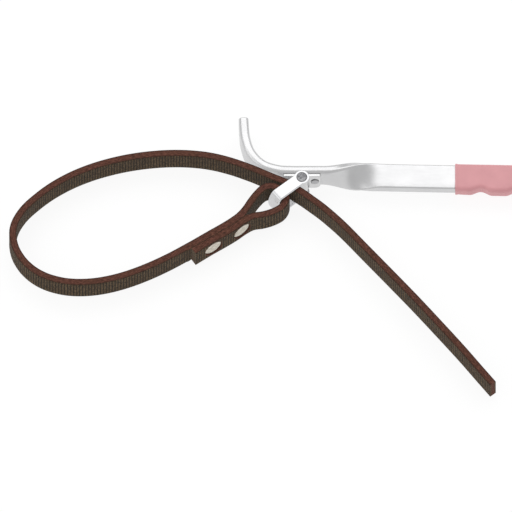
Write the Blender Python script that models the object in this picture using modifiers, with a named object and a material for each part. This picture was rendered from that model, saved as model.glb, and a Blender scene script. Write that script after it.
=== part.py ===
"""Strap wrench: a bent flat-steel handle, a pivoting shackle and a ribbed belt. Metres, +Z up.

The wrench lies flat. The handle runs along X, the pivot pin stands along Z and the belt stands
on its edge. Plan positions are measured from the pin's axis at the belt's mid-height, and one
empty at PIN_PLACE carries them all into the part's frame, whose origin is the middle of the
underside of the wrench's box.
"""
import math

import bmesh
import bpy
from mathutils import Matrix, Vector
from mathutils.geometry import interpolate_bezier

COLLECTION_NAME = "Strap wrench"
PIN_PLACE = (-0.0122, 0.0614, 0.0133)

# Flat-steel bar of the handle, with a straight nose, a bent head and a quarter turn behind it.
BAR_WIDTH = 0.0205
BAR_THICKNESS = 0.0074
BAR_CORNER = 0.002
BAR_SPACING = 0.005
BAR_GUIDE = [
    (-0.0440, 0.0525), (-0.0435, 0.0440), (-0.0425, 0.0350), (-0.0386, 0.0232),
    (-0.0299, 0.0134), (-0.0182, 0.0089), (-0.0080, 0.0081), (0.0020, 0.0081),
    (0.0085, 0.0081), (0.0155, 0.0081), (0.0400, 0.0070), (0.0630, 0.0060), (0.1160, 0.0048),
    (0.2380, 0.0022),
]
TWIST_START_X = 0.0155
TWIST_END_X = 0.063
TANG_START_X = 0.1165
TANG_WIDTH = 0.0155

# Moulded grip with finger hollows along the side that faces the pipe.
GRIP_START_X = 0.1160
GRIP_LENGTH = 0.130
GRIP_THICKNESS = 0.0106
GRIP_EDGE_RADIUS = 0.0035
GRIP_BACK = 0.0112
GRIP_FRONT_START = 0.0114
GRIP_FRONT = 0.0122
GRIP_FIT = 0.0003
GRIP_BASE_Y = BAR_GUIDE[-2][1]
GRIP_SLOPE = (BAR_GUIDE[-1][1] - GRIP_BASE_Y) / (BAR_GUIDE[-1][0] - BAR_GUIDE[-2][0])
GRIP_STEP = 0.0022
GRIP_END_RADIUS = 0.0082
HOLLOW_FIRST_X = 0.0195
HOLLOW_PITCH = 0.027
HOLLOW_COUNT = 4
HOLLOW_HALF_LENGTH = 0.0088
HOLLOW_DEPTH = 0.003

# Saddle that clamps the pin against the head: two riveted wings and a half-round hump.
HEAD_FACE_Y = 0.0044
PIN_RADIUS = 0.0029
PIN_HEAD_RADIUS = 0.0041
PIN_HEAD_HEIGHT = 0.0004
PIN_DISH = 0.0003
PIN_RIM = 0.0035
PIN_END_CLEARANCE = 0.00015
SADDLE_THICKNESS = 0.0015
SADDLE_TOP_Z = 0.0094
SADDLE_BOTTOM_Z = -0.0102
SADDLE_LEFT_X = -0.0140
SADDLE_RIGHT_X = 0.0141
SADDLE_TOP_CORNER = 0.001
SADDLE_BOTTOM_CORNER = 0.0052
SADDLE_GAP = 0.0002
SADDLE_RIVET_X = (-0.0101, 0.0099)
SADDLE_RIVET_SHANK = 0.0018
SADDLE_RIVET_HEAD = 0.0031
SADDLE_RIVET_RISE = 0.0011
SADDLE_RIVET_DEPTH = 0.0045

# Shackle: a strip bent into a U, with an eye at the end of each leg.
SHACKLE_THICKNESS = 0.0021
LEG_INNER_Z = 0.0106
LEG_WIDTH = 0.0094
EYE_RADIUS = 0.0058
EYE_HOLE_RADIUS = 0.0030
SHACKLE_EDGE = 0.0004
CROSSBAR_REACH = 0.0290
SHACKLE_CORNER_RADIUS = 0.0022
CROSSBAR_BOW_RADIUS = 0.019
SHACKLE_DIRECTION = math.radians(219.0)

# Belt, riveted back on itself around the shackle's crossbar.
BELT_WIDTH = 0.0185
BELT_THICKNESS = 0.0051
BELT_SPACING = 0.0025
BELT_GUIDE = [
    (-0.0816, -0.0613), (-0.0739, -0.0560), (-0.0662, -0.0509), (-0.0586, -0.0461),
    (-0.0506, -0.0407), (-0.0435, -0.0352), (-0.0370, -0.0314), (-0.0290, -0.0299),
    (-0.0212, -0.0272), (-0.0149, -0.0230), (-0.0120, -0.0172), (-0.0126, -0.0119),
    (-0.0168, -0.0079), (-0.0224, -0.0057), (-0.0283, -0.0068), (-0.0332, -0.0115),
    (-0.0381, -0.0183), (-0.0423, -0.0251), (-0.0471, -0.0309), (-0.0539, -0.0364),
    (-0.0616, -0.0416), (-0.0692, -0.0464), (-0.0769, -0.0514), (-0.0844, -0.0562),
    (-0.0994, -0.0653), (-0.1144, -0.0732), (-0.1296, -0.0798), (-0.1448, -0.0846),
    (-0.1600, -0.0872), (-0.1750, -0.0872), (-0.1871, -0.0847), (-0.1968, -0.0806),
    (-0.2048, -0.0748), (-0.2114, -0.0672), (-0.2164, -0.0572), (-0.2182, -0.0458),
    (-0.2164, -0.0364), (-0.2108, -0.0263), (-0.2033, -0.0179), (-0.1900, -0.0065),
    (-0.1750, 0.0030), (-0.1599, 0.0100), (-0.1448, 0.0151), (-0.1296, 0.0188),
    (-0.1146, 0.0211), (-0.0995, 0.0222), (-0.0844, 0.0219), (-0.0694, 0.0200),
    (-0.0542, 0.0159), (-0.0391, 0.0101), (-0.0316, 0.0067), (-0.0220, 0.0021),
    (-0.0123, -0.0023), (-0.0008, -0.0101), (0.0084, -0.0173), (0.0174, -0.0249),
    (0.0308, -0.0382), (0.0488, -0.0587), (0.0669, -0.0794), (0.0849, -0.1002),
    (0.1029, -0.1218), (0.1211, -0.1441), (0.1346, -0.1615), (0.1443, -0.1739),
]

# Distances along the belt from its riveted end, and the gap left at each flexing place.
LOOP_SWAY_AT = 0.2040
BOW_LOWER_AT = 0.3180
BOW_UPPER_AT = 0.4280
THROAT_BEND_AT = 0.5360
TAIL_FLEX_AT = 0.6520
TIP_FLEX_AT = 0.7420
BELT_GAP = 0.0009
TAIL_GAP = 0.0014

# Rivets of the lap, set through both layers.
BELT_RIVET_AT = (0.0165, 0.0424)
BELT_RIVET_HEAD = 0.0073
BELT_RIVET_HEAD_THICKNESS = 0.0010
BELT_RIVET_EDGE = 0.0005
BELT_RIVET_SUNK = 0.0017
BELT_RIVET_SHANK = 0.0020
LAP_PITCH = 0.0054
BURR_RADIUS = 0.0042
BURR_THICKNESS = 0.0009
CLENCH_RADIUS = 0.0032
CLENCH_HEIGHT = 0.0009
FIT = 0.0003

CUTTER_MARGIN = 0.01


# ---------------------------------------------------------------- scene and small helpers

def clear_scene():
    """Remove whatever the file opened with."""
    for scene_object in list(bpy.data.objects):
        bpy.data.objects.remove(scene_object, do_unlink=True)


def make_collection(name):
    """Return a new collection linked to the scene."""
    collection = bpy.data.collections.new(name)
    bpy.context.scene.collection.children.link(collection)
    return collection


def make_material(name, colour, roughness, metallic=0.0):
    """Return a Principled material."""
    material = bpy.data.materials.new(name)
    material.use_nodes = True
    shader = material.node_tree.nodes["Principled BSDF"]
    shader.inputs["Base Color"].default_value = (*colour, 1.0)
    shader.inputs["Roughness"].default_value = roughness
    shader.inputs["Metallic"].default_value = metallic
    return material


def make_empty(name, place, parent=None):
    """Return an empty at a plan position, on the belt's mid-height."""
    empty = bpy.data.objects.new(name, None)
    empty.empty_display_size = 0.01
    parts.objects.link(empty)
    empty["plan"] = (place[0], place[1])
    if parent is None:
        empty.location = PIN_PLACE
    else:
        empty.parent = parent
        empty.location = (place[0] - parent["plan"][0], place[1] - parent["plan"][1], 0.0)
    return empty


def adopt(scene_object, pivot, material=None, collection=None):
    """Parent an object built in plan coordinates to a pivot, with its origin on that pivot."""
    target = collection or parts
    for holder in list(scene_object.users_collection):
        holder.objects.unlink(scene_object)
    target.objects.link(scene_object)
    shift = Vector((-pivot["plan"][0], -pivot["plan"][1], 0.0))
    scene_object.data.transform(Matrix.Translation(shift) @ scene_object.matrix_basis)
    scene_object.matrix_basis = Matrix.Identity(4)
    scene_object.parent = pivot
    if material is not None:
        scene_object.data.materials.clear()
        scene_object.data.materials.append(material)
    return scene_object


def as_cutter(scene_object, pivot):
    """Keep an object as a cutting tool only."""
    adopt(scene_object, pivot, collection=cutters)
    scene_object.hide_render = True
    scene_object.display_type = "WIRE"
    return scene_object


def combine(scene_object, tool, operation):
    """Add a Boolean modifier."""
    modifier = scene_object.modifiers.new(operation.title(), "BOOLEAN")
    modifier.operation = operation
    modifier.object = tool
    modifier.solver = "EXACT"


def soften(scene_object, width, segments=2):
    """Round the sharp edges of a solid."""
    modifier = scene_object.modifiers.new("Edges", "BEVEL")
    modifier.width = width
    modifier.segments = segments
    modifier.limit_method = "ANGLE"
    modifier.angle_limit = math.radians(40)


def shade(scene_object, angle=35):
    """Shade smooth with crisp corners."""
    scene_object.data.shade_smooth()
    scene_object.data.set_sharp_from_angle(angle=math.radians(angle))


def solid_from_curve(curve_object):
    """Swap a curve object for a mesh object of the same name with its caps welded on."""
    bpy.context.view_layer.update()
    graph = bpy.context.evaluated_depsgraph_get()
    mesh = bpy.data.meshes.new_from_object(curve_object.evaluated_get(graph))
    editor = bmesh.new()
    editor.from_mesh(mesh)
    bmesh.ops.remove_doubles(editor, verts=editor.verts, dist=1e-6)
    bmesh.ops.recalc_face_normals(editor, faces=editor.faces)
    editor.to_mesh(mesh)
    editor.free()
    name = curve_object.name
    place = curve_object.matrix_world.copy()
    bpy.data.objects.remove(curve_object, do_unlink=True)
    solid = bpy.data.objects.new(name, mesh)
    solid.matrix_world = place
    parts.objects.link(solid)
    return solid


def outline_solid(name, outline, half_height, round_edge=0.0):
    """Extrude a closed plan outline equally up and down."""
    curve = bpy.data.curves.new(name, "CURVE")
    curve.dimensions = "2D"
    curve.fill_mode = "BOTH"
    curve.extrude = half_height - round_edge
    if round_edge:
        curve.bevel_depth = round_edge
        curve.bevel_resolution = 3
        curve.offset = -round_edge
    add_poly_line(curve, outline, closed=True)
    holder = bpy.data.objects.new(name, curve)
    parts.objects.link(holder)
    return solid_from_curve(holder)


def add_poly_line(curve, points, closed=False):
    """Add one straight-sided spline through 2D points."""
    spline = curve.splines.new("POLY")
    spline.points.add(len(points) - 1)
    for spline_point, (x, y) in zip(spline.points, points):
        spline_point.co = (x, y, 0.0, 1.0)
    spline.use_cyclic_u = closed
    return spline


def cylinder(name, radius, depth, centre, sides=40):
    """Return an upright cylinder."""
    bpy.ops.mesh.primitive_cylinder_add(vertices=sides, radius=radius, depth=depth, location=centre)
    scene_object = bpy.context.active_object
    scene_object.name = name
    return scene_object


def box(name, low, high):
    """Return a box between two corners."""
    size = [top - bottom for bottom, top in zip(low, high)]
    centre = [(top + bottom) / 2 for bottom, top in zip(low, high)]
    bpy.ops.mesh.primitive_cube_add(size=1.0)
    scene_object = bpy.context.active_object
    scene_object.name = name
    scene_object.data.transform(Matrix.Translation(centre) @ Matrix.Diagonal((*size, 1.0)))
    return scene_object


def turned(name, profile, sides=32):
    """Turn a profile of (radius, height) points, listed from top to bottom, about Z."""
    mesh = bpy.data.meshes.new(name)
    points = [(radius, 0.0, height) for radius, height in profile]
    mesh.from_pydata(points, [(index, index + 1) for index in range(len(points) - 1)], [])
    scene_object = bpy.data.objects.new(name, mesh)
    parts.objects.link(scene_object)
    screw = scene_object.modifiers.new("Turn", "SCREW")
    screw.steps = sides
    screw.render_steps = sides
    screw.use_merge_vertices = True
    screw.merge_threshold = 0.00001
    screw.use_smooth_shade = True
    return scene_object


def arc(centre, radius, start, end, steps):
    """Points on an arc; angles in degrees."""
    angles = [math.radians(start + (end - start) * index / steps) for index in range(steps + 1)]
    return [(centre[0] + radius * math.cos(a), centre[1] + radius * math.sin(a)) for a in angles]


# ---------------------------------------------------------------- smooth lines in plan

def smooth_line(guide, spacing):
    """Points at about an even spacing on a smooth curve through the guide points."""
    knots = [Vector(point) for point in guide]
    ahead = knots[1:] + knots[-1:]
    behind = knots[:1] + knots[:-1]
    tangents = [(after - before).normalized() for before, after in zip(behind, ahead)]
    line = [knots[0]]
    for index in range(len(knots) - 1):
        start, end = knots[index], knots[index + 1]
        reach = (end - start).length / 3
        steps = max(2, round(3 * reach / spacing) + 1)
        leave, arrive = start + tangents[index] * reach, end - tangents[index + 1] * reach
        line += interpolate_bezier(start, leave, arrive, end, steps)[1:]
    return [Vector((point.x, point.y)) for point in line]


def place_along(line, distance):
    """Point and unit direction on a line at a distance from its start."""
    for start, end in zip(line, line[1:]):
        step = (end - start).length
        if distance <= step:
            direction = (end - start).normalized()
            return start + direction * distance, direction
        distance -= step
    direction = (line[-1] - line[-2]).normalized()
    return line[-1] + direction * distance, direction


def line_between(line, start, end):
    """The stretch of a line between two distances from its start."""
    stretch = [place_along(line, start)[0]]
    travelled = 0.0
    for before, after in zip(line, line[1:]):
        travelled += (after - before).length
        if start + 1e-4 < travelled < end - 1e-4:
            stretch.append(after)
    stretch.append(place_along(line, end)[0])
    return stretch


def line_length(line):
    """Length of a line."""
    return sum((after - before).length for before, after in zip(line, line[1:]))


# ---------------------------------------------------------------- handle

def twist_at(x):
    """Turn of the bar about its own length, from 0 at the head to a quarter turn."""
    share = min(max((x - TWIST_START_X) / (TWIST_END_X - TWIST_START_X), 0.0), 1.0)
    return math.pi / 2 * share * share * (3 - 2 * share)


def bar_section(name, thickness, width, corner):
    """Closed section with rounded corners; its long side stands along the local Y."""
    half_x, half_y = thickness / 2 - corner, width / 2 - corner
    outline = arc((half_x, half_y), corner, 0, 90, 4) + arc((-half_x, half_y), corner, 90, 180, 4)
    outline += arc((-half_x, -half_y), corner, 180, 270, 4)
    outline += arc((half_x, -half_y), corner, 270, 360, 4)
    curve = bpy.data.curves.new(name, "CURVE")
    curve.dimensions = "2D"
    curve.fill_mode = "NONE"
    add_poly_line(curve, outline, closed=True)
    section = bpy.data.objects.new(name, curve)
    cutters.objects.link(section)
    section.hide_render = True
    section.display_type = "WIRE"
    return section


def swept_bar(name, section, line):
    """Sweep a section along a plan line, turning it as the bar is twisted."""
    curve = bpy.data.curves.new(name, "CURVE")
    curve.dimensions = "3D"
    curve.twist_mode = "Z_UP"
    curve.bevel_mode = "OBJECT"
    curve.bevel_object = section
    curve.use_fill_caps = True
    spline = add_poly_line(curve, [tuple(point) for point in line])
    for spline_point, point in zip(spline.points, line):
        spline_point.tilt = -twist_at(point.x)
    bar = bpy.data.objects.new(name, curve)
    parts.objects.link(bar)
    return solid_from_curve(bar)


def make_handle_bar(root):
    """Flat bar: nose, bent head, quarter turn, flat shank and a narrower tang in the grip."""
    section = bar_section("bar_section", BAR_THICKNESS, BAR_WIDTH, BAR_CORNER)
    line = smooth_line(BAR_GUIDE, BAR_SPACING)
    bar = swept_bar("handle_bar", section, line)
    adopt(bar, root, steel)
    for side in (-1, 1):
        inner, outer = side * TANG_WIDTH / 2, side * BAR_WIDTH
        low = (TANG_START_X, min(inner, outer), -BAR_WIDTH)
        high = (TANG_START_X + GRIP_LENGTH, max(inner, outer), BAR_WIDTH)
        shoulder = box("tang_cutter", low, high)
        lean_with_grip(shoulder)
        combine(bar, as_cutter(shoulder, root), "DIFFERENCE")
    for x in SADDLE_RIVET_X:
        combine(bar, rivet_hole(x, root), "DIFFERENCE")
    shade(bar)
    return bar


def lean_with_grip(scene_object):
    """Shear a solid built along X so that it follows the slight lean of the grip."""
    lean = Matrix.Identity(4)
    lean[1][0] = GRIP_SLOPE
    lean[1][3] = GRIP_BASE_Y - GRIP_SLOPE * GRIP_START_X
    scene_object.data.transform(lean)


def grip_front_edge(along):
    """Distance of the finger side from the grip's centre line."""
    flare = min(along / HOLLOW_FIRST_X, 1.0)
    edge = GRIP_FRONT_START + (GRIP_FRONT - GRIP_FRONT_START) * flare
    for index in range(HOLLOW_COUNT):
        offset = abs(along - HOLLOW_FIRST_X - index * HOLLOW_PITCH) / HOLLOW_HALF_LENGTH
        if offset < 1.0:
            edge -= HOLLOW_DEPTH * 0.5 * (1 + math.cos(math.pi * offset))
    return edge


def make_grip(root):
    """Sleeve over the tang, closed at the far end."""
    end_radius = GRIP_END_RADIUS
    far = GRIP_START_X + GRIP_LENGTH
    steps = round(GRIP_LENGTH / GRIP_STEP)
    distances = [GRIP_LENGTH * index / steps for index in range(steps + 1)]
    front = [(GRIP_START_X + d, -grip_front_edge(d)) for d in distances
             if d < GRIP_LENGTH - end_radius]
    corner_y = GRIP_FRONT - end_radius
    outline = front + arc((far - end_radius, -corner_y), end_radius, -90, 0, 8)
    outline += arc((far - end_radius, GRIP_BACK - end_radius), end_radius, 0, 90, 8)
    outline += [(GRIP_START_X, GRIP_BACK)]
    grip = outline_solid("grip", outline, GRIP_THICKNESS / 2, GRIP_EDGE_RADIUS)
    lean_with_grip(grip)
    adopt(grip, root, plastic)
    half_width = TANG_WIDTH / 2 + GRIP_FIT
    half_thickness = BAR_THICKNESS / 2 + GRIP_FIT
    tang_end = BAR_GUIDE[-1][0] + GRIP_FIT
    outside = GRIP_START_X - CUTTER_MARGIN
    pocket = box("grip_pocket", (outside, -half_width, -half_thickness),
                 (tang_end, half_width, half_thickness))
    lean_with_grip(pocket)
    combine(grip, as_cutter(pocket, root), "DIFFERENCE")
    mouth = box("grip_mouth", (outside, -GRIP_FRONT * 2, -GRIP_THICKNESS),
                (TANG_START_X + GRIP_FIT, GRIP_FRONT * 2, GRIP_THICKNESS))
    lean_with_grip(mouth)
    combine(grip, as_cutter(mouth, root), "DIFFERENCE")
    shade(grip, 50)
    return grip


# ---------------------------------------------------------------- pin, saddle and shackle

def make_pivot_pin(root):
    """Pin with slightly spread ends that keep the shackle on."""
    end_z = LEG_INNER_Z + SHACKLE_THICKNESS + PIN_END_CLEARANCE
    top = end_z + PIN_HEAD_HEIGHT
    profile = [(0.0, top - PIN_DISH), (PIN_RIM, top - PIN_DISH), (PIN_RIM + PIN_DISH, top),
               (PIN_HEAD_RADIUS, top - PIN_DISH), (PIN_HEAD_RADIUS, end_z), (PIN_RADIUS, end_z)]
    profile += [(radius, -height) for radius, height in reversed(profile)]
    return adopt(turned("pivot_pin", profile), root, dark_steel)


def saddle_outline():
    """Plan outline of the wings and the hump."""
    back = HEAD_FACE_Y - SADDLE_GAP
    front = back - SADDLE_THICKNESS
    inner = PIN_RADIUS + SADDLE_GAP
    outer = inner + SADDLE_THICKNESS
    outline = [(SADDLE_LEFT_X, back), (SADDLE_LEFT_X, front)]
    foot = math.degrees(math.asin(front / outer))
    outline += arc((0.0, 0.0), outer, 180 - foot, 360 + foot, 24)
    outline += [(SADDLE_RIGHT_X, front), (SADDLE_RIGHT_X, back), (inner, back)]
    outline += arc((0.0, 0.0), inner, 360, 180, 20)
    outline += [(-inner, back)]
    return outline


def saddle_rivet_matrix(x):
    """Frame of a saddle rivet: Z points out of the head's face towards the pipe."""
    return Matrix.Translation((x, HEAD_FACE_Y, 0.0)) @ Matrix.Rotation(math.pi / 2, 4, "X")


def rivet_hole(x, root):
    """Hole through the saddle's wing and into the head for one rivet."""
    depth = 2 * (SADDLE_RIVET_DEPTH + FIT)
    hole = cylinder("saddle_rivet_hole", SADDLE_RIVET_SHANK + FIT, depth, (0.0, 0.0, 0.0), 24)
    hole.data.transform(saddle_rivet_matrix(x))
    return as_cutter(hole, root)


def make_saddle(root):
    """Plate bent over the pin and riveted to the head on both sides of it."""
    saddle = outline_solid("pin_saddle", saddle_outline(), -SADDLE_BOTTOM_Z + CUTTER_MARGIN)
    adopt(saddle, root, bright_steel)
    r, high = SADDLE_TOP_CORNER, SADDLE_TOP_Z - SADDLE_TOP_CORNER
    face = arc((SADDLE_RIGHT_X - r, high), r, 0, 90, 3)
    face += arc((SADDLE_LEFT_X + r, high), r, 90, 180, 3)
    r, low = SADDLE_BOTTOM_CORNER, SADDLE_BOTTOM_Z + SADDLE_BOTTOM_CORNER
    face += arc((SADDLE_LEFT_X + r, low), r, 180, 270, 10)
    face += arc((SADDLE_RIGHT_X - r, low), r, 270, 360, 10)
    blank = outline_solid("saddle_blank", face, PIN_RADIUS + SADDLE_THICKNESS + CUTTER_MARGIN)
    blank.data.transform(Matrix.Rotation(math.pi / 2, 4, "X"))
    combine(saddle, as_cutter(blank, root), "INTERSECT")
    for x in SADDLE_RIVET_X:
        combine(saddle, rivet_hole(x, root), "DIFFERENCE")
    shade(saddle)
    return saddle


def make_saddle_rivet(name, x, root):
    """Round-head rivet holding one wing of the saddle."""
    shoulder = SADDLE_THICKNESS + SADDLE_GAP + FIT
    profile = [(SADDLE_RIVET_HEAD * across, shoulder + SADDLE_RIVET_RISE * up)
               for across, up in arc((0.0, 0.0), 1.0, 90, 0, 6)]
    profile += [(SADDLE_RIVET_SHANK, shoulder), (SADDLE_RIVET_SHANK, -SADDLE_RIVET_DEPTH)]
    profile += [(0.0, -SADDLE_RIVET_DEPTH)]
    rivet = turned(name, profile, 24)
    rivet.matrix_basis = saddle_rivet_matrix(x)
    return keep_turn(rivet, root, rivet_metal)


def shackle_frame():
    """Matrix that turns the shackle's own length, drawn along X, to its real direction."""
    return Matrix.Rotation(SHACKLE_DIRECTION, 4, "Z")


def make_shackle(pivot):
    """U of flat strip whose legs end in eyes around the pin."""
    mid_z = LEG_INNER_Z + SHACKLE_THICKNESS / 2
    corner, bow = SHACKLE_CORNER_RADIUS, CROSSBAR_BOW_RADIUS
    bow_x = CROSSBAR_REACH - SHACKLE_THICKNESS / 2 - bow
    corner_z = mid_z - corner
    corner_x = bow_x + math.sqrt((bow - corner) ** 2 - corner_z ** 2)
    meet = math.degrees(math.asin(corner_z / (bow - corner)))
    strip_line = [(-EYE_RADIUS - CUTTER_MARGIN, mid_z)]
    strip_line += arc((corner_x, corner_z), corner, 90, meet, 4)
    strip_line += arc((bow_x, 0.0), bow, meet, -meet, 12)[1:-1]
    strip_line += arc((corner_x, -corner_z), corner, -meet, -90, 4)
    strip_line += [(-EYE_RADIUS - CUTTER_MARGIN, -mid_z)]
    curve = bpy.data.curves.new("shackle", "CURVE")
    curve.dimensions = "2D"
    curve.fill_mode = "NONE"
    curve.extrude = EYE_RADIUS + CUTTER_MARGIN
    add_poly_line(curve, strip_line)
    strip = bpy.data.objects.new("shackle", curve)
    parts.objects.link(strip)
    shackle = solid_from_curve(strip)
    shackle.data.transform(Matrix.Rotation(math.pi / 2, 4, "X"))
    thicken(shackle, SHACKLE_THICKNESS)

    half = LEG_WIDTH / 2
    neck = math.degrees(math.asin(half / EYE_RADIUS))
    plan = arc((0.0, 0.0), EYE_RADIUS, neck, 360 - neck, 32)
    beyond = CROSSBAR_REACH + CUTTER_MARGIN
    plan += [(beyond, -half), (beyond, half)]
    blank = outline_solid("shackle_blank", plan, mid_z + CUTTER_MARGIN)
    blank.data.transform(shackle_frame())
    shackle.data.transform(shackle_frame())
    adopt(shackle, pivot, bright_steel)
    combine(shackle, as_cutter(blank, pivot), "INTERSECT")
    hole = cylinder("shackle_eye_hole", EYE_HOLE_RADIUS, 2 * (mid_z + CUTTER_MARGIN), (0.0, 0.0, 0.0))
    combine(shackle, as_cutter(hole, pivot), "DIFFERENCE")
    soften(shackle, SHACKLE_EDGE)
    shade(shackle)
    return shackle


def thicken(scene_object, thickness):
    """Give an open sheet its thickness, half to each side."""
    modifier = scene_object.modifiers.new("Thickness", "SOLIDIFY")
    modifier.thickness = thickness
    modifier.offset = 0.0
    modifier.use_even_offset = True


# ---------------------------------------------------------------- belt

def make_belt_piece(name, start, end, pivot):
    """One stretch of the belt: an upright ribbon with its thickness."""
    curve = bpy.data.curves.new(name, "CURVE")
    curve.dimensions = "2D"
    curve.fill_mode = "NONE"
    curve.extrude = BELT_WIDTH / 2
    add_poly_line(curve, [tuple(point) for point in line_between(belt_line, start, end)])
    ribbon = bpy.data.objects.new(name, curve)
    parts.objects.link(ribbon)
    piece = solid_from_curve(ribbon)
    thicken(piece, BELT_THICKNESS)
    adopt(piece, pivot, belt_rubber)
    shade(piece)
    return piece


def rivet_matrix(distance):
    """Frame of a lap rivet: Z points out of the outer layer, origin between the two layers."""
    place, direction = place_along(belt_line, distance)
    outward = Vector((direction.y, -direction.x, 0.0))
    origin = Vector((place.x, place.y, 0.0)) - outward * LAP_PITCH / 2
    turn = outward.to_track_quat("Z", "Y").to_matrix().to_4x4()
    return Matrix.Translation(origin) @ turn


def make_belt_rivet(name, distance, pivot):
    """Rivet with a broad sunk head outside and a clenched end inside."""
    face = LAP_PITCH / 2 + BELT_THICKNESS / 2
    under_head = face - BELT_RIVET_SUNK
    top = under_head + BELT_RIVET_HEAD_THICKNESS
    clench = -face - BURR_THICKNESS - 2 * FIT
    edge = BELT_RIVET_EDGE
    profile = [(0.0, top), (BELT_RIVET_HEAD - edge, top), (BELT_RIVET_HEAD, top - edge),
               (BELT_RIVET_HEAD, under_head), (BELT_RIVET_SHANK, under_head),
               (BELT_RIVET_SHANK, clench), (CLENCH_RADIUS, clench),
               (CLENCH_RADIUS * 0.8, clench - CLENCH_HEIGHT * 0.7), (0.0, clench - CLENCH_HEIGHT)]
    rivet = turned(name, profile)
    rivet.matrix_basis = rivet_matrix(distance)
    return keep_turn(rivet, pivot, rivet_metal)


def make_burr(name, distance, pivot):
    """Washer under the clenched end of a lap rivet."""
    near = -LAP_PITCH / 2 - BELT_THICKNESS / 2 - FIT
    far = near - BURR_THICKNESS
    bore = BELT_RIVET_SHANK + FIT
    profile = [(bore, near), (BURR_RADIUS, near), (BURR_RADIUS, far), (bore, far), (bore, near)]
    burr = turned(name, profile)
    burr.matrix_basis = rivet_matrix(distance)
    return keep_turn(burr, pivot, rivet_metal)


def keep_turn(scene_object, pivot, material):
    """Parent a turned piece to a pivot while its own axis stays where it was turned."""
    place = scene_object.matrix_basis.copy()
    shift = Matrix.Translation((-pivot["plan"][0], -pivot["plan"][1], 0.0))
    scene_object.matrix_basis = shift @ place
    scene_object.parent = pivot
    scene_object.data.materials.append(material)
    return scene_object


def cut_rivet_seats(eye, pivot):
    """Open both layers of the lap for the rivets and sink their heads."""
    for distance in BELT_RIVET_AT:
        frame = rivet_matrix(distance)
        through = 2 * (LAP_PITCH + CUTTER_MARGIN)
        hole = cylinder("lap_hole", BELT_RIVET_SHANK + FIT, through, (0.0, 0.0, 0.0), 32)
        hole.data.transform(frame)
        combine(eye, as_cutter(hole, pivot), "DIFFERENCE")
        face = LAP_PITCH / 2 + BELT_THICKNESS / 2
        depth = BELT_RIVET_SUNK + CUTTER_MARGIN
        seat = cylinder("head_seat", BELT_RIVET_HEAD + FIT, depth, (0.0, 0.0, 0.0), 40)
        lift = Matrix.Translation((0.0, 0.0, face - BELT_RIVET_SUNK - FIT + depth / 2))
        seat.data.transform(frame @ lift)
        combine(eye, as_cutter(seat, pivot), "DIFFERENCE")


def make_belt(eye_pivot):
    """Belt pieces, each hung on the flexing place at its start, with the lap's rivets."""
    joints = [
        ("strap_lower", "loop_sway", LOOP_SWAY_AT, BELT_GAP),
        ("strap_bow", "bow_lower", BOW_LOWER_AT, BELT_GAP),
        ("strap_upper", "bow_upper", BOW_UPPER_AT, BELT_GAP),
        ("strap_throat", "throat_bend", THROAT_BEND_AT, BELT_GAP),
        ("strap_tail", "tail_flex", TAIL_FLEX_AT, TAIL_GAP),
        ("strap_tip", "tip_flex", TIP_FLEX_AT, TAIL_GAP),
    ]
    name, pivot, start = "strap_eye", eye_pivot, 0.0
    for next_name, joint_name, distance, gap in joints:
        piece = make_belt_piece(name, start, distance - gap / 2, pivot)
        if name == "strap_eye":
            cut_rivet_seats(piece, pivot)
        pivot = make_empty(joint_name, place_along(belt_line, distance)[0], pivot)
        name, start = next_name, distance + gap / 2
    make_belt_piece(name, start, line_length(belt_line), pivot)
    for side, distance in zip(("rear", "front"), BELT_RIVET_AT):
        make_belt_rivet(f"strap_rivet_{side}", distance, eye_pivot)
        make_burr(f"strap_burr_{side}", distance, eye_pivot)


# ---------------------------------------------------------------- assembly

clear_scene()
parts = make_collection(COLLECTION_NAME)
cutters = make_collection("Cutters")
steel = make_material("Satin steel", (0.80, 0.80, 0.80), 0.3, 1.0)
bright_steel = make_material("Bright steel", (0.86, 0.86, 0.86), 0.25, 1.0)
dark_steel = make_material("Dark steel", (0.12, 0.12, 0.13), 0.6, 1.0)
rivet_metal = make_material("Rivet metal", (0.62, 0.58, 0.50), 0.4, 1.0)
plastic = make_material("Pink plastic", (0.73, 0.36, 0.38), 0.45)
belt_rubber = make_material("Belt", (0.09, 0.06, 0.045), 0.7)
belt_line = smooth_line(BELT_GUIDE, BELT_SPACING)

handle_frame = make_empty("handle_frame", (0.0, 0.0))
make_handle_bar(handle_frame)
make_grip(handle_frame)
make_pivot_pin(handle_frame)
make_saddle(handle_frame)
for side, rivet_x in zip(("rear", "front"), SADDLE_RIVET_X):
    make_saddle_rivet(f"saddle_rivet_{side}", rivet_x, handle_frame)

shackle_pivot = make_empty("shackle_pivot", (0.0, 0.0), handle_frame)
make_shackle(shackle_pivot)
crossbar_reach = CROSSBAR_REACH - SHACKLE_THICKNESS / 2
crossbar_place = (crossbar_reach * math.cos(SHACKLE_DIRECTION),
                  crossbar_reach * math.sin(SHACKLE_DIRECTION))
make_belt(make_empty("eye_swivel", crossbar_place, shackle_pivot))
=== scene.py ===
"""Looks of the strap wrench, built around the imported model. Metres, +Z up, in the model's frame.

The belt, the handle bar, the grip and the two broad rivets are new meshes. The other parts keep
their own meshes and get finished materials. Plan positions of the belt and of the bar are measured
from the pin's axis.
"""
import math

import bpy
import numpy as np
from mathutils import Matrix, Vector, noise
from mathutils.geometry import interpolate_bezier


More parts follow.
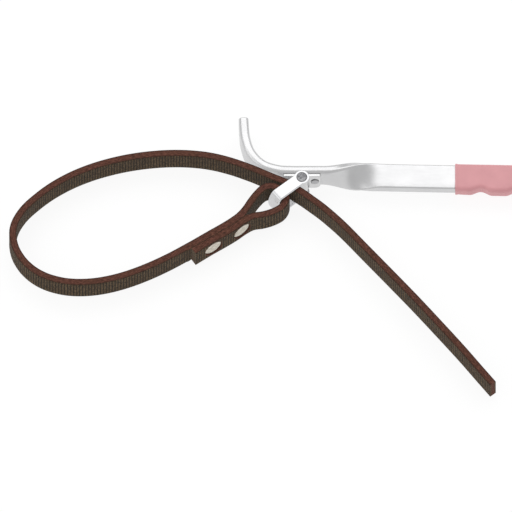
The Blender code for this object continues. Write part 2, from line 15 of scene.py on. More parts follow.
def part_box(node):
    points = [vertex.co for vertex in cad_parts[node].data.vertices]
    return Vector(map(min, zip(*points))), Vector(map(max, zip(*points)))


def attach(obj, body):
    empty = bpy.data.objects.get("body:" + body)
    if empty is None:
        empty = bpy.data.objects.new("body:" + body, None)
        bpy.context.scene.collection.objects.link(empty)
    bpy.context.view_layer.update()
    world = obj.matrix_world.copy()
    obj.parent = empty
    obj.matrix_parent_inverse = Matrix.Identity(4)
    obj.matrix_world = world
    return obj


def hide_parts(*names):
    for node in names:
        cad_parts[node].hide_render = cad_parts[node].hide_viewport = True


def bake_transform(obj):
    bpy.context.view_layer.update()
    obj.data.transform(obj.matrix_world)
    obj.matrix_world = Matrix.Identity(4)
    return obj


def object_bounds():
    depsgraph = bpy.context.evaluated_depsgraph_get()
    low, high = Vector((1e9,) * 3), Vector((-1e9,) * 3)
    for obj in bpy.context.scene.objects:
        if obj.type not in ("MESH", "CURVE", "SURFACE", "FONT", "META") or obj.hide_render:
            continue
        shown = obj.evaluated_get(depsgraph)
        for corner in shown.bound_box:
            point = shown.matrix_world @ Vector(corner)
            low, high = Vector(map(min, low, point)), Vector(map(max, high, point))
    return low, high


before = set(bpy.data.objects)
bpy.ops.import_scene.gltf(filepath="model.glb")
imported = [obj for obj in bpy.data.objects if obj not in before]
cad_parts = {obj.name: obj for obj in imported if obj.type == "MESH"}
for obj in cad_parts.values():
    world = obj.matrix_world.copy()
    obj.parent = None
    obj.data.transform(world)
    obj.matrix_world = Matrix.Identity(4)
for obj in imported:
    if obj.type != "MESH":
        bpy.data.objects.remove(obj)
cad_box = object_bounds()

pin_low, pin_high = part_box("pivot_pin")
PIN = (pin_low + pin_high) / 2

# View: an orthographic camera above the front of the wrench, looking along +Y.
VIEW_ELEVATION = math.radians(62.5)
VIEW_WIDTH = 0.38656
VIEW_SIDEWAYS = -0.03458
VIEW_UPWARD = -0.05379
CAMERA_DISTANCE = 1.5
WORLD_STRENGTH = 0.72
FLOOR_SIZE = 6.0
FLOOR_GAP = 0.0002
FLOOR_SHADE = 0.14
FLOOR_GLOW = 0.88

ROUTE_SPACING = 0.0004

# Belt.
BELT_WIDTH = 0.0185
BELT_THICKNESS = 0.0051
BELT_GUIDE = [
    (-0.0816, -0.0613), (-0.0739, -0.0560), (-0.0662, -0.0509), (-0.0586, -0.0461),
    (-0.0506, -0.0407), (-0.0435, -0.0352), (-0.0370, -0.0314), (-0.0290, -0.0299),
    (-0.0212, -0.0272), (-0.0149, -0.0230), (-0.0120, -0.0172), (-0.0126, -0.0119),
    (-0.0168, -0.0079), (-0.0224, -0.0057), (-0.0283, -0.0068), (-0.0332, -0.0115),
    (-0.0381, -0.0183), (-0.0423, -0.0251), (-0.0471, -0.0309), (-0.0539, -0.0364),
    (-0.0616, -0.0416), (-0.0692, -0.0464), (-0.0769, -0.0514), (-0.0844, -0.0562),
    (-0.0994, -0.0653), (-0.1144, -0.0732), (-0.1296, -0.0798), (-0.1448, -0.0846),
    (-0.1600, -0.0872), (-0.1750, -0.0872), (-0.1871, -0.0847), (-0.1968, -0.0806),
    (-0.2048, -0.0748), (-0.2114, -0.0672), (-0.2164, -0.0572), (-0.2182, -0.0458),
    (-0.2164, -0.0364), (-0.2108, -0.0263), (-0.2033, -0.0179), (-0.1900, -0.0065),
    (-0.1750, 0.0030), (-0.1599, 0.0100), (-0.1448, 0.0151), (-0.1296, 0.0188),
    (-0.1146, 0.0211), (-0.0995, 0.0222), (-0.0844, 0.0219), (-0.0694, 0.0200),
    (-0.0542, 0.0159), (-0.0391, 0.0101), (-0.0316, 0.0067), (-0.0220, 0.0021),
    (-0.0123, -0.0023), (-0.0008, -0.0101), (0.0084, -0.0173), (0.0174, -0.0249),
    (0.0308, -0.0382), (0.0488, -0.0587), (0.0669, -0.0794), (0.0849, -0.1002),
    (0.1029, -0.1218), (0.1211, -0.1441), (0.1346, -0.1615), (0.1443, -0.1739),
]
BELT_CORNER = 0.0005
BELT_EDGE_CROWN = 0.00012
RIB_PITCH = 0.0022
RIB_DEPTH = 0.00032
RIB_STEPS = 6
RIB_FADE = 0.0007
RIB_SHARPNESS = 0.7
RIB_UNEVENNESS = 0.3
BELT_SWELL = 0.0002

# Handle bar.
BAR_WIDTH = 0.0205
BAR_THICKNESS = 0.0074
BAR_HEAD_CORNER = 0.0028
BAR_SHANK_CORNER = 0.0013
BAR_GUIDE = [
    (-0.0440, 0.0525), (-0.0435, 0.0440), (-0.0425, 0.0350), (-0.0386, 0.0232),
    (-0.0299, 0.0134), (-0.0182, 0.0089), (-0.0080, 0.0081), (0.0020, 0.0081),
    (0.0085, 0.0081), (0.0155, 0.0081), (0.0400, 0.0070), (0.0630, 0.0060), (0.1160, 0.0048),
    (0.2380, 0.0022),
]
BAR_END_ROUND = 0.0009
TWIST_START_X = 0.0155
TWIST_END_X = 0.063
TANG_START_X = 0.1165
TANG_STEP_LENGTH = 0.0004
BAR_RING_SPACING = 0.0012
TANG_WIDTH = 0.0155

# Grip.
GRIP_START_X = 0.1158
GRIP_END_X = 0.2460
GRIP_THICKNESS = 0.0106
GRIP_ROUND = 0.0031
GRIP_BACK = 0.0112
GRIP_FRONT_START = 0.0114
GRIP_FRONT = 0.0122
GRIP_END_RADIUS = 0.0082
GRIP_LIP = 0.0004
GRIP_LIP_LENGTH = 0.0022
GRIP_LIP_ROUND = 0.00035
GRIP_END_THINNING = 0.0022
GRIP_BODY_RINGS = 150
MOUTH_BEVEL = 0.0002
HOLLOW_FIRST_X = 0.0195
HOLLOW_PITCH = 0.027
HOLLOW_COUNT = 4
HOLLOW_HALF_LENGTH = 0.0088
HOLLOW_DEPTH = 0.003

# Distances along the belt where it flexes and where its pieces meet.
LOOP_SWAY_AT = 0.2040
BOW_LOWER_AT = 0.3180
BOW_UPPER_AT = 0.4280
THROAT_BEND_AT = 0.5360
TAIL_FLEX_AT = 0.6520
TIP_FLEX_AT = 0.7420
EYE_END_AT = 0.1880

# Lap rivets.
BELT_RIVET_AT = (0.0165, 0.0424)
BELT_RIVET_HEAD = 0.0073
BELT_RIVET_HEAD_THICKNESS = 0.0010
BELT_RIVET_SUNK = 0.0017
BELT_RIVET_SHANK = 0.0020
RIVET_SETTLE = 0.0005
RIVET_CROWN = 0.0001
RIVET_EDGE = 0.0008
RIVET_SIDES = 56
RIVET_DENTS = 0.00022
HAIR = 0.00001
HOLE_REACH = 0.01
BURR_THICKNESS = 0.0009
CLENCH_RADIUS = 0.0032
CLENCH_HEIGHT = 0.0009
LAP_PITCH = 0.0054
LAP_START_AT = 0.1235
LAP_END_AT = 0.192
LAP_OUTER_END_AT = 0.060
LAP_CLOSED = 0.0031
LAP_OPEN = 0.0036
LAP_CLEARANCE = 0.00003
LAP_RIM_FADE = 0.3
FIT = 0.0003


# ---------------------------------------------------------------- meshes

def new_object(name, mesh):
    """Link a mesh object to the scene."""
    piece = bpy.data.objects.new(name, mesh)
    bpy.context.scene.collection.objects.link(piece)
    return piece


def loft(name, rings, attributes=None, sharp_angle=50):
    """Closed solid through equal rings of points, capped at both ends."""
    rings = np.asarray(rings, float)
    count, around = rings.shape[:2]
    faces = []
    for ring in range(count - 1):
        low, high = ring * around, (ring + 1) * around
        for index in range(around):
            after = (index + 1) % around
            faces.append((low + index, low + after, high + after, high + index))
    faces.append(tuple(reversed(range(around))))
    faces.append(tuple(range((count - 1) * around, count * around)))
    mesh = bpy.data.meshes.new(name)
    mesh.from_pydata(rings.reshape(-1, 3).tolist(), [], faces)
    for label, values in (attributes or {}).items():
        layer = mesh.attributes.new(label, "FLOAT", "POINT")
        layer.data.foreach_set("value", np.asarray(values, np.float32).ravel())
    mesh.shade_smooth()
    mesh.set_sharp_from_angle(angle=math.radians(sharp_angle))
    return new_object(name, mesh)


def turned(name, profile, sides, matrix, dents=0.0, seed=0.0):
    """Solid turned about Z from a profile of (radius, height), first and last on the axis."""
    angles = np.linspace(0, 2 * math.pi, sides, endpoint=False)
    rings = []
    for radius, height in profile:
        ring = []
        for angle in angles:
            x, y = radius * math.cos(angle), radius * math.sin(angle)
            lift = dents * noise.noise(Vector((x * 420 + seed, y * 420, height * 60)))
            ring.append(matrix @ Vector((x, y, height + lift)))
        rings.append(ring)
    return loft(name, [[tuple(point) for point in ring] for ring in rings], sharp_angle=60)


# ---------------------------------------------------------------- routes

def smooth_line(guide, spacing):
    """Points at about an even spacing on a smooth curve through the guide points."""
    knots = [Vector(point) for point in guide]
    ahead = knots[1:] + knots[-1:]
    behind = knots[:1] + knots[:-1]
    tangents = [(after - before).normalized() for before, after in zip(behind, ahead)]
    line = [knots[0]]
    for index in range(len(knots) - 1):
        start, end = knots[index], knots[index + 1]
        reach = (end - start).length / 3
        steps = max(2, round(3 * reach / spacing) + 1)
        leave, arrive = start + tangents[index] * reach, end - tangents[index + 1] * reach
        line += interpolate_bezier(start, leave, arrive, end, steps)[1:]
    return np.array([(point.x, point.y) for point in line])


class Route:
    """A smooth plan line that can be read at any distance from its start."""

    def __init__(self, guide):
        self.line = smooth_line(guide, ROUTE_SPACING)
        steps = np.hypot(*np.diff(self.line, axis=0).T)
        self.along = np.concatenate([[0.0], np.cumsum(steps)])
        self.headings = np.gradient(self.line, self.along, axis=0)
        self.length = self.along[-1]

    def at(self, distance):
        """Plan position and unit direction."""
        place = [np.interp(distance, self.along, self.line[:, axis]) for axis in (0, 1)]
        heading = [np.interp(distance, self.along, self.headings[:, axis]) for axis in (0, 1)]
        return np.array(place), np.array(heading) / np.hypot(*heading)


belt_route = Route(BELT_GUIDE)
bar_route = Route(BAR_GUIDE)


# ---------------------------------------------------------------- handle

def rounded_section(half_u, half_w, corner, corner_steps=7, flat_steps=5):
    """Points (u, w) round a rectangle with rounded corners."""
    corner = min(corner, half_u * 0.98, half_w * 0.98)
    points = []
    for quarter, (side_u, side_w) in enumerate(((1, 1), (-1, 1), (-1, -1), (1, -1))):
        start = quarter * math.pi / 2
        for turn in np.linspace(start, start + math.pi / 2, corner_steps):
            points.append((side_u * (half_u - corner) + corner * math.cos(turn),
                           side_w * (half_w - corner) + corner * math.sin(turn)))
        last = points[-1]
        after = start + math.pi / 2
        next_u, next_w = ((-1, 1), (-1, -1), (1, -1), (1, 1))[quarter]
        first = (next_u * (half_u - corner) + corner * math.cos(after),
                 next_w * (half_w - corner) + corner * math.sin(after))
        for share in np.linspace(0, 1, flat_steps + 1)[1:-1]:
            points.append((last[0] + (first[0] - last[0]) * share,
                           last[1] + (first[1] - last[1]) * share))
    return np.array(points)


def bar_ring(distance, shrink=0.0):
    """Ring of the bar at a distance along it, drawn in at its rounded ends."""
    place, heading = bar_route.at(distance)
    share = min(max((place[0] - TWIST_START_X) / (TWIST_END_X - TWIST_START_X), 0.0), 1.0)
    turn = math.pi / 2 * share * share * (3 - 2 * share)
    tang = min(max((place[0] - TANG_START_X) / TANG_STEP_LENGTH, 0.0), 1.0)
    width = BAR_WIDTH + (TANG_WIDTH - BAR_WIDTH) * tang
    corner = BAR_HEAD_CORNER + (BAR_SHANK_CORNER - BAR_HEAD_CORNER) * math.sin(turn)
    u, w = rounded_section(BAR_THICKNESS / 2 - shrink, width / 2 - shrink, corner).T
    beside = np.array([heading[1], -heading[0], 0.0])
    up = np.array([0.0, 0.0, 1.0])
    thick = beside * math.cos(turn) + up * math.sin(turn)
    wide = up * math.cos(turn) - beside * math.sin(turn)
    centre = np.array([PIN.x + place[0], PIN.y + place[1], PIN.z])
    return centre + np.outer(u, thick) + np.outer(w, wide)


def rounded_ends(start, end, spacing, radius, steps=5):
    """(station, shrink) pairs from start to end with quarter-round ends."""
    turns = np.linspace(0, math.pi / 2, steps + 1)
    near = [(start + radius * (1 - math.sin(t)), radius * (1 - math.cos(t))) for t in turns[::-1]]
    far = [(end - radius * (1 - math.sin(t)), radius * (1 - math.cos(t))) for t in turns]
    count = max(2, round((end - start - 2 * radius) / spacing))
    middle = [(station, 0.0) for station in np.linspace(start + radius, end - radius, count + 1)]
    return near[:-1] + middle + far[1:]


def make_bar():
    """Flat bar with rounded corners: nose, bent head, quarter turn, shank and tang."""
    stations = rounded_ends(0.0, bar_route.length, BAR_RING_SPACING, BAR_END_ROUND)
    rings = [bar_ring(station, shrink) for station, shrink in stations]
    bar = loft("steel_bar", rings, sharp_angle=40)
    bar.data.materials.append(bar_steel)
    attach(bar, "handle")
    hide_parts("handle_bar")


def grip_front_edge(along):
    """Distance of the finger side from the grip's centre line."""
    edge = GRIP_FRONT_START + (GRIP_FRONT - GRIP_FRONT_START) * min(along / HOLLOW_FIRST_X, 1.0)
    for index in range(HOLLOW_COUNT):
        offset = abs(along - HOLLOW_FIRST_X - index * HOLLOW_PITCH) / HOLLOW_HALF_LENGTH
        if offset < 1.0:
            edge -= HOLLOW_DEPTH * 0.5 * (1 + math.cos(math.pi * offset))
    return edge


def grip_ring(x, front, back, half_thickness, corner):
    """Ring across the grip, between a front and a back distance from its leaning centre line."""
    lean = (BAR_GUIDE[-1][1] - BAR_GUIDE[-2][1]) / (BAR_GUIDE[-1][0] - BAR_GUIDE[-2][0])
    axis_y = BAR_GUIDE[-2][1] + lean * (x - BAR_GUIDE[-2][0])
    u, w = rounded_section((front + back) / 2, half_thickness, corner, 7, 6).T
    y = PIN.y + axis_y + (back - front) / 2 + u
    return np.stack([np.full(len(y), PIN.x + x), y, PIN.z + w], axis=1)


def make_grip():
    """Moulded sleeve: rounded far end, finger hollows, a lip and a mouth round the bar."""
    rings = []
    tip = GRIP_END_RADIUS
    for turn in np.linspace(0, math.pi / 2, 12):
        draw = tip * (1 - math.sin(turn))
        thin = GRIP_END_THINNING * (1 - math.sin(turn)) ** 2
        x = GRIP_END_X - tip + tip * math.cos(turn)
        rings.append(grip_ring(x, GRIP_FRONT - draw * 0.98, GRIP_BACK - draw * 0.98,
                               GRIP_THICKNESS / 2 - thin, GRIP_ROUND))
    for x in np.linspace(GRIP_END_X - tip, GRIP_START_X + GRIP_LIP_LENGTH,
                         GRIP_BODY_RINGS)[1:]:
        rings.append(grip_ring(x, grip_front_edge(x - GRIP_START_X), GRIP_BACK,
                               GRIP_THICKNESS / 2, GRIP_ROUND))
    for share in (0.12, 0.25, 0.4, 0.6, 0.8, 0.93, 1.0):
        x = GRIP_START_X + GRIP_LIP_LENGTH * (1 - share)
        rise = GRIP_LIP * math.sin(min(share * 1.25, 1.0) * math.pi / 2)
        rise -= GRIP_LIP_ROUND * max(share - 0.85, 0.0) / 0.15
        rings.append(grip_ring(x, GRIP_FRONT_START + rise, GRIP_BACK + rise,
                               GRIP_THICKNESS / 2 + rise * 0.8, GRIP_ROUND + rise))
    mouth = BAR_WIDTH / 2 + FIT / 2
    gap = BAR_THICKNESS / 2 + FIT / 2
    pocket = TANG_WIDTH / 2 + FIT
    wide = mouth + MOUTH_BEVEL
    rings.append(grip_ring(GRIP_START_X, wide, wide, gap + MOUTH_BEVEL, BAR_SHANK_CORNER))
    for x, side in ((GRIP_START_X + FIT, mouth), (TANG_START_X + FIT * 3, mouth),
                    (TANG_START_X + FIT * 4, pocket), (BAR_GUIDE[-1][0] + FIT, pocket)):
        rings.append(grip_ring(x, side, side, gap, BAR_SHANK_CORNER))
    grip = loft("moulded_grip", rings, sharp_angle=50)
    grip.data.materials.append(plastic)
    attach(grip, "handle")
    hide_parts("grip")


# ---------------------------------------------------------------- belt

def belt_point(distance, offset=0.0, height=0.0):
    """World position beside the belt's centre line; offset is to the right of its direction."""
    place, heading = belt_route.at(distance)
    place = place + offset * np.array([heading[1], -heading[0]])
    return Vector((PIN.x + place[0], PIN.y + place[1], PIN.z + height))


def belt_section(face_rows, edge_rows=5, corner_rows=4):
    """Section points as (offset, height, face share), going round once."""
    half_t = BELT_THICKNESS / 2 + BELT_SWELL
    half_w = BELT_WIDTH / 2 + BELT_SWELL
    flat_t, flat_w = half_t - BELT_CORNER, half_w - BELT_CORNER
    half = []
    for height in np.linspace(-flat_w, flat_w, face_rows):
        half.append((half_t, height, 1.0))
    for turn in np.linspace(0, math.pi / 2, corner_rows + 1)[1:-1]:
        out, up = math.cos(turn), math.sin(turn)
        half.append((flat_t + BELT_CORNER * out, flat_w + BELT_CORNER * up, out * out))
    for offset in np.linspace(flat_t, -flat_t, edge_rows):
        crown = BELT_EDGE_CROWN * (1 - (offset / flat_t) ** 2)
        half.append((offset, half_w - BELT_EDGE_CROWN + crown, 0.0))
    for turn in np.linspace(math.pi / 2, math.pi, corner_rows + 1)[1:-1]:
        out, up = math.cos(turn), math.sin(turn)
        half.append((-flat_t + BELT_CORNER * out, flat_w + BELT_CORNER * up, out * out))
    return np.array(half + [(-offset, -height, face) for offset, height, face in half])


def lap_reach(station, place):
    """Distance from the centre line to the side that faces the lap's other layer, and how far
    the two are pressed together, from 0 to 1."""
    half = BELT_THICKNESS / 2 + BELT_SWELL
    if LAP_OUTER_END_AT < station < LAP_START_AT or station > LAP_END_AT:
        return half, 0.0
    along = belt_route.along
    other = along > LAP_START_AT if station < LAP_OUTER_END_AT else along < LAP_OUTER_END_AT
    other &= along < LAP_END_AT
    middle = np.hypot(*(belt_route.line[other] - place).T).min() / 2
    share = min(max((LAP_OPEN - middle) / (LAP_OPEN - LAP_CLOSED), 0.0), 1.0)
    return half + (middle - LAP_CLEARANCE - half) * share, share


def belt_piece(name, start, end, face_rows=7):
    """One stretch of belt with raised cross ribs on both faces."""
    section = belt_section(face_rows)
    offsets, heights, faces = section.T
    steps = max(2, round((end - start) / (RIB_PITCH / RIB_STEPS)))
    stations = np.linspace(start, end, steps + 1)
    half = BELT_THICKNESS / 2 + BELT_SWELL
    flat = BELT_WIDTH / 2 - BELT_CORNER
    reach = np.clip((flat - np.abs(heights)) / RIB_FADE, 0, 1) * (faces > 0.99)
    rings, ribs, sides = [], [], []
    for station in stations:
        place, heading = belt_route.at(station)
        phase = 0.5 + 0.5 * math.cos(2 * math.pi * station / RIB_PITCH)
        swell = [0.85 + RIB_UNEVENNESS * noise.noise(Vector((station * 900, height * 500, 3.0)))
                 for height in heights]
        valley = (1 - phase ** RIB_SHARPNESS) * np.array(swell)
        offset = offsets - np.sign(offsets) * RIB_DEPTH * valley * reach
        lap_side, pressed = lap_reach(station, place)
        offset = np.where(offsets < 0, offset * lap_side / half, offset)
        sides.append(np.where(offsets < 0, offsets * (1 - LAP_RIM_FADE * pressed), offsets))
        x = PIN.x + place[0] + offset * heading[1]
        y = PIN.y + place[1] - offset * heading[0]
        rings.append(np.stack([x, y, PIN.z + heights], axis=1))
        # Rib crest share; the belt material paints shade into the valleys where it is low.
        ribs.append(np.where(faces > 0.5, 1 - valley, 1.0))
    around = len(section)
    labels = {
        "along": np.repeat(stations, around),
        "across": np.array(sides),
        "height": np.tile(heights, len(stations)),
        "face": np.tile(faces, len(stations)),
        "rib": np.array(ribs),
    }
    piece = loft(name, rings, labels)
    piece.data.materials.append(belt_material)
    piece.visible_glossy = False
    return piece


def rivet_matrix(distance):
    """Frame of a lap rivet: Z points out of the outer layer, origin between the two layers."""
    origin = belt_point(distance, offset=-LAP_PITCH / 2)
    outward = (belt_point(distance, offset=1.0) - belt_point(distance)).normalized()
    return Matrix.Translation(origin) @ outward.to_track_quat("Z", "Y").to_matrix().to_4x4()


def cut(piece, radius, low, high, matrix):
    """Take a round hole out of a piece."""
    bpy.ops.mesh.primitive_cylinder_add(vertices=56, radius=radius, depth=high - low)
    tool = bpy.context.active_object
    tool.data.transform(matrix @ Matrix.Translation((0, 0, (high + low) / 2)))
    modifier = piece.modifiers.new("Hole", "BOOLEAN")
    modifier.operation = "DIFFERENCE"
    modifier.solver = "EXACT"
    modifier.object = tool
    bpy.context.view_layer.update()
    graph = bpy.context.evaluated_depsgraph_get()
    mesh = bpy.data.meshes.new_from_object(piece.evaluated_get(graph))
    piece.modifiers.clear()
    piece.data = mesh
    bpy.data.objects.remove(tool, do_unlink=True)
    mesh.shade_smooth()
    mesh.set_sharp_from_angle(angle=math.radians(50))


def make_belt():
    """Belt in pieces that each cross one flexing place."""
    eye = belt_piece("belt_eye", 0.0, EYE_END_AT)
    face = LAP_PITCH / 2 + BELT_THICKNESS / 2
    for distance in BELT_RIVET_AT:
        matrix = rivet_matrix(distance)
        cut(eye, BELT_RIVET_SHANK + FIT, -HOLE_REACH, HOLE_REACH, matrix)
        seat = face - BELT_RIVET_SUNK - FIT
        cut(eye, BELT_RIVET_HEAD + FIT, seat, HOLE_REACH, matrix)
    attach(eye, "strap_eye")
    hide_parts("strap_eye")
    joints = [
        ("belt_sway", "strap_eye", "strap_lower", LOOP_SWAY_AT),
        ("belt_bow_lower", "strap_lower", "strap_bow", BOW_LOWER_AT),
        ("belt_bow_upper", "strap_bow", "strap_upper", BOW_UPPER_AT),
        ("belt_throat", "strap_upper", "strap_throat", THROAT_BEND_AT),
        ("belt_tail", "strap_throat", "strap_tail", TAIL_FLEX_AT),
        ("belt_tip", "strap_tail", "strap_tip", TIP_FLEX_AT),
    ]
    middles = [(one[3] + other[3]) / 2 for one, other in zip(joints, joints[1:])]
    starts, ends = [EYE_END_AT] + middles, middles + [belt_route.length]
    for (name, before, after, flex), start, end in zip(joints, starts, ends):
        piece = belt_piece(name, start, end)
        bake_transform(piece)
        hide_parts(after)


def make_lap_rivets():
    """Broad hammered heads in their seats, with the clenched ends on the inside."""
    face = LAP_PITCH / 2 + BELT_THICKNESS / 2
    under = face - BELT_RIVET_SUNK
    top = under + BELT_RIVET_HEAD_THICKNESS - RIVET_SETTLE
    clench = -face - BURR_THICKNESS - 2 * FIT
    for side, distance in zip(("rear", "front"), BELT_RIVET_AT):
        head = [(HAIR, top + RIVET_CROWN)]
        flat = BELT_RIVET_HEAD - RIVET_EDGE
        head += [(radius, top + RIVET_CROWN) for radius in np.linspace(RIVET_EDGE, flat, 12)]
        head += [(BELT_RIVET_HEAD - 0.0002, top), (BELT_RIVET_HEAD, top - 0.0002)]
        head += [(BELT_RIVET_HEAD, under), (BELT_RIVET_SHANK, under), (BELT_RIVET_SHANK, clench)]
        head += [(CLENCH_RADIUS, clench), (CLENCH_RADIUS, clench - 0.0003)]
        head += [(CLENCH_RADIUS * 0.75, clench - CLENCH_HEIGHT * 0.8)]
        head += [(HAIR, clench - CLENCH_HEIGHT)]
        piece = turned(f"lap_rivet_{side}", head, RIVET_SIDES, rivet_matrix(distance),
                       RIVET_DENTS, distance * 900)
        piece.data.materials.append(rivet_material)
        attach(piece, "strap_eye")
        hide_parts(f"strap_rivet_{side}")


# ---------------------------------------------------------------- materials

class Finish:
    """A Principled material with a few shorthands for its nodes."""

    def __init__(self, name, colour, roughness, metallic=0.0):
        self.material = bpy.data.materials.new(name)
        self.material.use_nodes = True
        self.tree = self.material.node_tree
        self.shader = self.tree.nodes["Principled BSDF"]
        self.shader.inputs["Base Color"].default_value = (*colour, 1.0)
        self.shader.inputs["Roughness"].default_value = roughness
        self.shader.inputs["Metallic"].default_value = metallic

    def add(self, kind, **settings):
        """Add a node and set its properties."""
        node = self.tree.nodes.new(kind)
        for label, value in settings.items():
            setattr(node, label, value)
        return node

    def link(self, source, target):
        """Join two sockets."""
        self.tree.links.new(source, target)

    def place(self, scale=(1, 1, 1)):
        """Object position, stretched."""
        spot = self.add("ShaderNodeTexCoord")
        stretch = self.add("ShaderNodeMapping")
        stretch.inputs["Scale"].default_value = scale
        self.link(spot.outputs["Object"], stretch.inputs["Vector"])
        return stretch.outputs["Vector"]

    def value(self, label):
        """A value stored on the mesh."""
        return self.add("ShaderNodeAttribute", attribute_name=label).outputs["Fac"]

    def sum(self, operation, first, second):
        """Arithmetic on sockets or numbers."""
        node = self.add("ShaderNodeMath", operation=operation)
        for index, item in enumerate((first, second)):
            if isinstance(item, (int, float)):
                node.inputs[index].default_value = item
            else:
                self.link(item, node.inputs[index])
        return node.outputs[0]

    def spots(self, vector, scale, detail=4.0, roughness=0.55):
        """Noise at a scale in cells for each metre."""
        node = self.add("ShaderNodeTexNoise")
        node.inputs["Scale"].default_value = scale
        node.inputs["Detail"].default_value = detail
        node.inputs["Roughness"].default_value = roughness
        self.link(vector, node.inputs["Vector"])
        return node.outputs["Fac"]

    def ramp(self, source, stops):
        """Map a value to colours or greys."""
        node = self.add("ShaderNodeValToRGB")
        ramp = node.color_ramp
        while len(ramp.elements) < len(stops):
            ramp.elements.new(0.5)
        for element, (position, colour) in zip(ramp.elements, stops):
            element.position = position
            shade = (colour,) * 3 if isinstance(colour, (int, float)) else colour
            element.color = (*shade, 1.0)
        self.link(source, node.inputs["Fac"])
        return node.outputs["Color"]

    def mix(self, share, first, second, blend="MIX"):
        """Mix two colours."""
        node = self.add("ShaderNodeMix", data_type="RGBA", blend_type=blend)
        for index, item in ((0, share), (6, first), (7, second)):
            if isinstance(item, (int, float)):
                node.inputs[index].default_value = item
            elif isinstance(item, tuple):
                node.inputs[index].default_value = (*item, 1.0)
            else:
                self.link(item, node.inputs[index])
        return node.outputs[2]

    def bump(self, height, distance, strength=1.0):
        """Fine relief."""
        node = self.add("ShaderNodeBump")
        node.inputs["Distance"].default_value = distance
        node.inputs["Strength"].default_value = strength
        self.link(height, node.inputs["Height"])
        self.link(node.outputs["Normal"], self.shader.inputs["Normal"])


def steel(name, bright, dull, roughness, stretch=(1, 1, 1), grain=0.00002):
    """Plated steel with soft cloudy tone, drawn grain and small scuffs."""
    finish = Finish(name, bright, roughness, 1.0)
    cloud = finish.spots(finish.place(), 45.0)
    scuffs = finish.spots(finish.place((1.0, 1.0, 3.0)), 260.0, 8.0, 0.7)
    lines = finish.spots(finish.place(stretch), 900.0, 3.0)
    tone = finish.mix(finish.ramp(cloud, [(0.35, 0.0), (0.68, 1.0)]), bright, dull)
    worn = finish.ramp(scuffs, [(0.66, 0.0), (0.78, 0.35)])
    tone = finish.mix(worn, tone, tuple(shade * 0.72 for shade in dull))
    finish.link(tone, finish.shader.inputs["Base Color"])
    matt = finish.sum("MULTIPLY_ADD", lines, 0.16)
    matt.node.inputs[2].default_value = roughness - 0.08
    finish.link(matt, finish.shader.inputs["Roughness"])
    finish.bump(lines, grain, 0.5)
    return finish.material


def make_belt_material():
    """Rubberised belt: reddish brown cut edges, olive brown ribbed faces with painted shade in the
    rib valleys.
    """
    finish = Finish("belt", (0.09, 0.06, 0.045), 0.72)
    along, across, height = (finish.value(label) for label in ("along", "across", "height"))
    spot = finish.add("ShaderNodeCombineXYZ")
    finish.link(along, spot.inputs[0])
    finish.link(across, spot.inputs[1])
    finish.link(height, spot.inputs[2])
    stretched = finish.add("ShaderNodeMapping")
    stretched.inputs["Scale"].default_value = (0.25, 1.6, 1.0)
    finish.link(spot.outputs[0], stretched.inputs["Vector"])
    grain = finish.spots(stretched.outputs[0], 1500.0, 4.0, 0.6)
    cloud = finish.spots(spot.outputs[0], 70.0, 3.0)
    speck = finish.spots(spot.outputs[0], 1300.0, 3.0, 0.6)

    core = finish.ramp(grain, [(0.34, (0.034, 0.012, 0.008)), (0.50, (0.092, 0.033, 0.022)),
                               (0.64, (0.185, 0.074, 0.050))])
    core = finish.mix(finish.ramp(cloud, [(0.4, 0.0), (0.7, 0.30)]), core, (0.085, 0.040, 0.020))
    sides = finish.sum("ABSOLUTE", across, 0.0)
    rim = finish.ramp(finish.sum("MULTIPLY", sides, 2 / BELT_THICKNESS), [(0.62, 0.0), (0.98, 0.75)])
    core = finish.mix(rim, core, (0.022, 0.011, 0.008))

    rib = finish.value("rib")
    top = finish.ramp(speck, [(0.38, (0.016, 0.011, 0.006)), (0.60, (0.155, 0.103, 0.056))])
    # Painted shade: the rib valleys are coloured near-black, and the rib crests take the speckled
    # face tone.
    faces_with_valley_shade = finish.mix(finish.ramp(rib, [(0.15, 0.0), (0.85, 1.0)]), (0.008, 0.006, 0.004), top)
    faces_with_valley_shade = finish.mix(finish.ramp(cloud, [(0.42, 0.0), (0.66, 0.30)]), faces_with_valley_shade, (0.042, 0.023, 0.013))
    colour = finish.mix(finish.ramp(finish.value("face"), [(0.25, 0.0), (0.75, 1.0)]), core, faces_with_valley_shade)
    finish.link(colour, finish.shader.inputs["Base Color"])
    finish.bump(finish.sum("ADD", grain, speck), 0.00012, 0.6)
    finish.shader.inputs["Specular IOR Level"].default_value = 0.15
    return finish.material


def make_rivet_material():
    """Dull silver-beige plated metal, hammered."""
    finish = Finish("hammered rivet", (0.55, 0.51, 0.43), 0.38, 1.0)
    spot = finish.place()
    tone = finish.ramp(finish.spots(spot, 380.0, 6.0, 0.65),
                       [(0.28, (0.36, 0.33, 0.27)), (0.52, (0.60, 0.56, 0.48)),
                        (0.74, (0.74, 0.71, 0.63))])
    finish.link(tone, finish.shader.inputs["Base Color"])
    fine = finish.spots(spot, 1200.0, 4.0)
    finish.link(finish.ramp(fine, [(0.3, 0.30), (0.7, 0.52)]), finish.shader.inputs["Roughness"])
    finish.bump(finish.spots(spot, 700.0, 5.0), 0.0001, 0.7)
    return finish.material


def make_dark_steel():
    """Rough cut end of a steel pin."""
    finish = Finish("rough dark steel", (0.3, 0.3, 0.3), 0.5, 1.0)
    spot = finish.place()
    tone = finish.ramp(finish.spots(spot, 620.0, 6.0, 0.7),
                       [(0.32, (0.10, 0.10, 0.11)), (0.52, (0.30, 0.30, 0.31)),
                        (0.72, (0.50, 0.50, 0.50))])
    finish.link(tone, finish.shader.inputs["Base Color"])
    finish.bump(finish.spots(spot, 900.0, 6.0, 0.7), 0.0003, 0.9)
    return finish.material


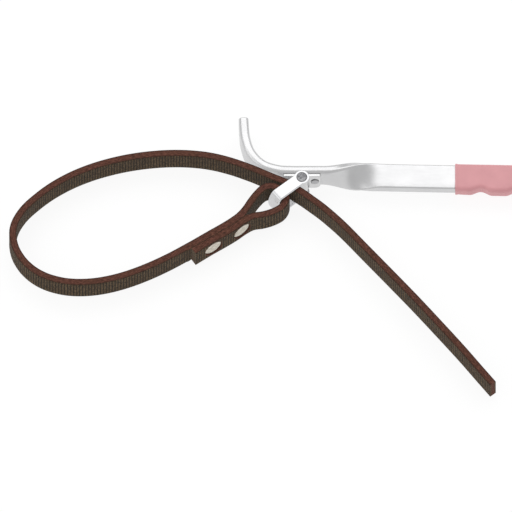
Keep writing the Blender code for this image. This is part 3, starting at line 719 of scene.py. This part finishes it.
def make_plastic():
    """Faded red moulded plastic with a fine satin grain."""
    finish = Finish("moulded plastic", (0.62, 0.30, 0.32), 0.42)
    spot = finish.place()
    cloud = finish.spots(spot, 60.0, 4.0)
    grain = finish.spots(spot, 3200.0, 2.0)
    tone = finish.ramp(cloud, [(0.35, (0.645, 0.285, 0.305)), (0.65, (0.70, 0.315, 0.335))])
    finish.link(tone, finish.shader.inputs["Base Color"])
    finish.link(finish.ramp(grain, [(0.3, 0.38), (0.7, 0.52)]), finish.shader.inputs["Roughness"])
    finish.bump(grain, 0.00004, 0.5)
    finish.shader.inputs["Coat Weight"].default_value = 0.25
    finish.shader.inputs["Coat Roughness"].default_value = 0.35
    return finish.material


def paint(node, material):
    """Give a carried-over part its material."""
    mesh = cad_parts[node].data
    mesh.materials.clear()
    mesh.materials.append(material)


# ---------------------------------------------------------------- view and light

def make_camera():
    """Orthographic camera at the viewing angle."""
    up = Vector((0, math.sin(VIEW_ELEVATION), math.cos(VIEW_ELEVATION)))
    back = Vector((0, -math.cos(VIEW_ELEVATION), math.sin(VIEW_ELEVATION)))
    target = PIN + Vector((VIEW_SIDEWAYS, 0, 0)) + up * VIEW_UPWARD
    data = bpy.data.cameras.new("camera")
    data.type = "ORTHO"
    data.ortho_scale = VIEW_WIDTH
    camera = bpy.data.objects.new("camera", data)
    camera.location = target + back * CAMERA_DISTANCE
    camera.rotation_euler = (math.pi / 2 - VIEW_ELEVATION, 0, 0)
    bpy.context.scene.collection.objects.link(camera)
    bpy.context.scene.camera = camera
    return target


def make_light(name, place, target, size, power):
    """Soft rectangular light aimed at a point."""
    data = bpy.data.lights.new(name, "AREA")
    data.shape = "RECTANGLE"
    data.size, data.size_y = size
    data.energy = power
    light = bpy.data.objects.new(name, data)
    light.location = place
    light.rotation_euler = (Vector(target) - Vector(place)).to_track_quat("-Z", "Y").to_euler()
    bpy.context.scene.collection.objects.link(light)


def make_studio(target):
    """Pale floor, pale surroundings and soft lights."""
    scene = bpy.context.scene
    scene.view_settings.view_transform = "Standard"
    world = bpy.data.worlds.new("surroundings")
    world.use_nodes = True
    background = world.node_tree.nodes["Background"]
    background.inputs["Color"].default_value = (1.0, 1.0, 1.0, 1.0)
    background.inputs["Strength"].default_value = WORLD_STRENGTH
    scene.world = world
    make_light("softbox_back", target + Vector((0, 0.70, 1.00)), target, (2.0, 0.8), 5.4)
    make_light("softbox_left", target + Vector((-1.1, -0.1, 0.9)), target, (0.9, 0.9), 1.8)
    bpy.ops.mesh.primitive_plane_add(size=FLOOR_SIZE, location=(0, 0, cad_box[0][2] - FLOOR_GAP))
    floor = bpy.context.active_object
    floor.name = "floor"
    finish = Finish("pale floor", (FLOOR_SHADE,) * 3, 0.9)
    finish.shader.inputs["Specular IOR Level"].default_value = 0.1
    finish.shader.inputs["Emission Color"].default_value = (1.0, 1.0, 1.0, 1.0)
    finish.shader.inputs["Emission Strength"].default_value = FLOOR_GLOW
    floor.data.materials.append(finish.material)


# ---------------------------------------------------------------- assembly

view_target = make_camera()
make_studio(view_target)

belt_material = make_belt_material()
rivet_material = make_rivet_material()
make_belt()
make_lap_rivets()

bar_steel = steel("plated bar steel", (0.64, 0.64, 0.645), (0.59, 0.59, 0.595), 0.34, (0.15, 1, 1))
shackle_steel = steel("bright strip steel", (0.68, 0.68, 0.69), (0.62, 0.62, 0.63), 0.32)
saddle_steel = steel("pressed plate steel", (0.70, 0.70, 0.70), (0.58, 0.58, 0.58), 0.30)
stud_steel = steel("rivet steel", (0.50, 0.50, 0.51), (0.30, 0.30, 0.31), 0.42)
paint("shackle", shackle_steel)
paint("pin_saddle", saddle_steel)
paint("saddle_rivet_rear", stud_steel)
paint("saddle_rivet_front", stud_steel)
paint("pivot_pin", make_dark_steel())
paint("strap_burr_rear", rivet_material)
paint("strap_burr_front", rivet_material)
plastic = make_plastic()
make_bar()
make_grip()
